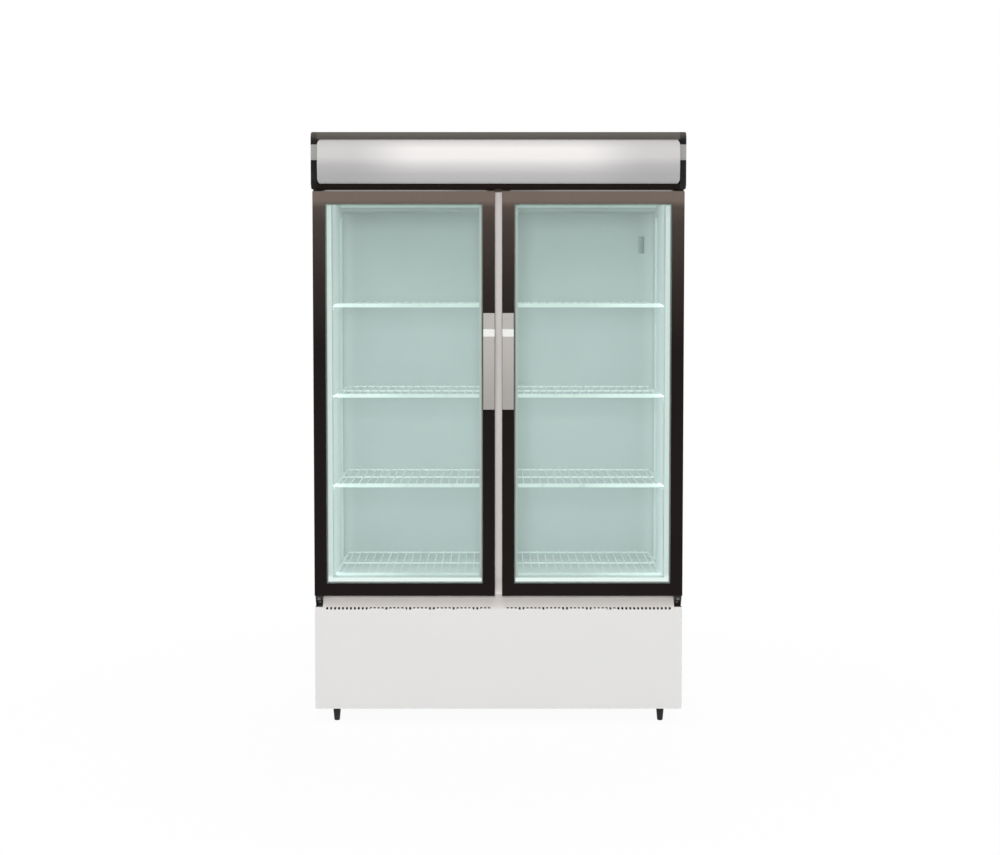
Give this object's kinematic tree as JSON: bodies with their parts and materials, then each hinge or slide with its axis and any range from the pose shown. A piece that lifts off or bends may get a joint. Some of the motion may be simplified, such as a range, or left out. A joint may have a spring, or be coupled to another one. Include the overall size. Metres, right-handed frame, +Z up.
{
  "type": "display refrigerator",
  "caption": "Upright commercial display refrigerator with hinged glazed doors, wire shelves, a sign canopy and a machine compartment below.",
  "frame": {"origin": "middle of the footprint's bounding box, on the floor under the feet", "axes": "+Z up, +X to the viewer's right, -Y out of the doors towards the viewer"},
  "size_m": [1.251, 0.7, 1.996],
  "materials": {
    "white_paint": "satin",
    "frame_paint": "satin",
    "galvanised": "satin",
    "foam": "matte",
    "liner": "satin",
    "cover_grey": "satin",
    "coil_metal": "satin",
    "machine_black": "satin",
    "fan_plastic": "matte",
    "hose": "matte",
    "probe_grey": "matte",
    "shelf_steel": "satin",
    "bright_metal": "satin",
    "diffuser": "satin",
    "canopy_dark": "satin",
    "sign_silver": "satin",
    "cap_black": "satin",
    "board": "matte",
    "hinge_black": "satin",
    "rubber_black": "matte",
    "copper": "satin",
    "tray_plastic": "matte",
    "foot_black": "matte",
    "door_bronze": "satin",
    "glass": "gloss",
    "gasket_grey": "matte",
    "handle_silver": "satin"
  },
  "bodies": {
    "cabinet": {"outer_shell": "white_paint", "front_panel": "white_paint", "front_frame": "frame_paint", "centre_mullion": "frame_paint", "back_panel": "galvanised", "rear_grille": "galvanised", "base_tray": "galvanised", "insulation": "foam", "inner_liner": "liner", "evaporator_cover": "cover_grey", "evaporator_coil": "coil_metal", "evaporator_fan_motors": "machine_black", "drain_hose": "hose", "temperature_probe_cover": "probe_grey", "shelf_uprights": "shelf_steel", "shelf_clips": "shelf_steel", "led_channels": "bright_metal", "led_diffusers": "diffuser", "canopy_housing": "canopy_dark", "canopy_sign_panel": "sign_silver", "canopy_end_caps": "cap_black", "canopy_led_board": "board", "top_hinges": "hinge_black", "bottom_hinges": "hinge_black", "compressor": "machine_black", "compressor_mounts": "rubber_black", "condenser_coil": "coil_metal", "condenser_fan_shroud": "galvanised", "condenser_fan_motor": "machine_black", "evaporation_tray": "tray_plastic", "refrigerant_pipes": "copper", "control_box": "tray_plastic", "cable_gland": "cap_black", "shelf_left_1": "shelf_steel", "shelf_right_1": "shelf_steel", "shelf_left_2": "shelf_steel", "shelf_right_2": "shelf_steel", "shelf_left_3": "shelf_steel", "shelf_right_3": "shelf_steel", "shelf_left_4": "shelf_steel", "shelf_right_4": "shelf_steel"},
    "left_door": {"left_door_frame": "door_bronze", "left_door_glass": "glass", "left_door_spacer": "bright_metal", "left_door_gasket": "gasket_grey", "left_door_handle": "handle_silver", "left_door_corner_blocks": "tray_plastic"},
    "right_door": {"right_door_frame": "door_bronze", "right_door_glass": "glass", "right_door_spacer": "bright_metal", "right_door_gasket": "gasket_grey", "right_door_handle": "handle_silver", "right_door_corner_blocks": "tray_plastic"},
    "evaporator_fan_left_rotor": {"evaporator_fan_left": "fan_plastic"},
    "evaporator_fan_right_rotor": {"evaporator_fan_right": "fan_plastic"},
    "condenser_fan_rotor": {"condenser_fan": "fan_plastic"},
    "foot_front_left_leveller": {"foot_front_left": "foot_black"},
    "foot_front_right_leveller": {"foot_front_right": "foot_black"},
    "foot_rear_left_leveller": {"foot_rear_left": "foot_black"},
    "foot_rear_right_leveller": {"foot_rear_right": "foot_black"}
  },
  "joints": [
    {"name": "left_door_hinge", "type": "hinge", "parent": "cabinet", "child": "left_door", "pos_m": [-0.6085, -0.3015, 0.436], "axis": [0, 0, -1], "range_deg": [0, 110], "stiffness_Nm_per_rad": 2, "springref_deg": -6.88},
    {"name": "right_door_hinge", "type": "hinge", "parent": "cabinet", "child": "right_door", "pos_m": [0.6085, -0.3015, 0.436], "axis": [0, 0, 1], "range_deg": [0, 110], "stiffness_Nm_per_rad": 2, "springref_deg": -6.88},
    {"name": "evaporator_fan_left_spin", "type": "hinge", "parent": "cabinet", "child": "evaporator_fan_left_rotor", "pos_m": [-0.322, 0.139, 1.7575], "axis": [0, 0, 1], "continuous": true},
    {"name": "evaporator_fan_right_spin", "type": "hinge", "parent": "cabinet", "child": "evaporator_fan_right_rotor", "pos_m": [0.322, 0.139, 1.7575], "axis": [0, 0, 1], "continuous": true},
    {"name": "condenser_fan_spin", "type": "hinge", "parent": "cabinet", "child": "condenser_fan_rotor", "pos_m": [-0.38, -0.157, 0.188], "axis": [0, 1, 0], "continuous": true},
    {"name": "foot_front_left_turn", "type": "hinge", "parent": "cabinet", "child": "foot_front_left_leveller", "pos_m": [-0.5525, -0.272, 0.048], "axis": [0, 0, 1], "continuous": true},
    {"name": "foot_front_right_turn", "type": "hinge", "parent": "cabinet", "child": "foot_front_right_leveller", "pos_m": [0.5525, -0.272, 0.048], "axis": [0, 0, 1], "continuous": true},
    {"name": "foot_rear_left_turn", "type": "hinge", "parent": "cabinet", "child": "foot_rear_left_leveller", "pos_m": [-0.5525, 0.3, 0.048], "axis": [0, 0, 1], "continuous": true},
    {"name": "foot_rear_right_turn", "type": "hinge", "parent": "cabinet", "child": "foot_rear_right_leveller", "pos_m": [0.5525, 0.3, 0.048], "axis": [0, 0, 1], "continuous": true}
  ]
}
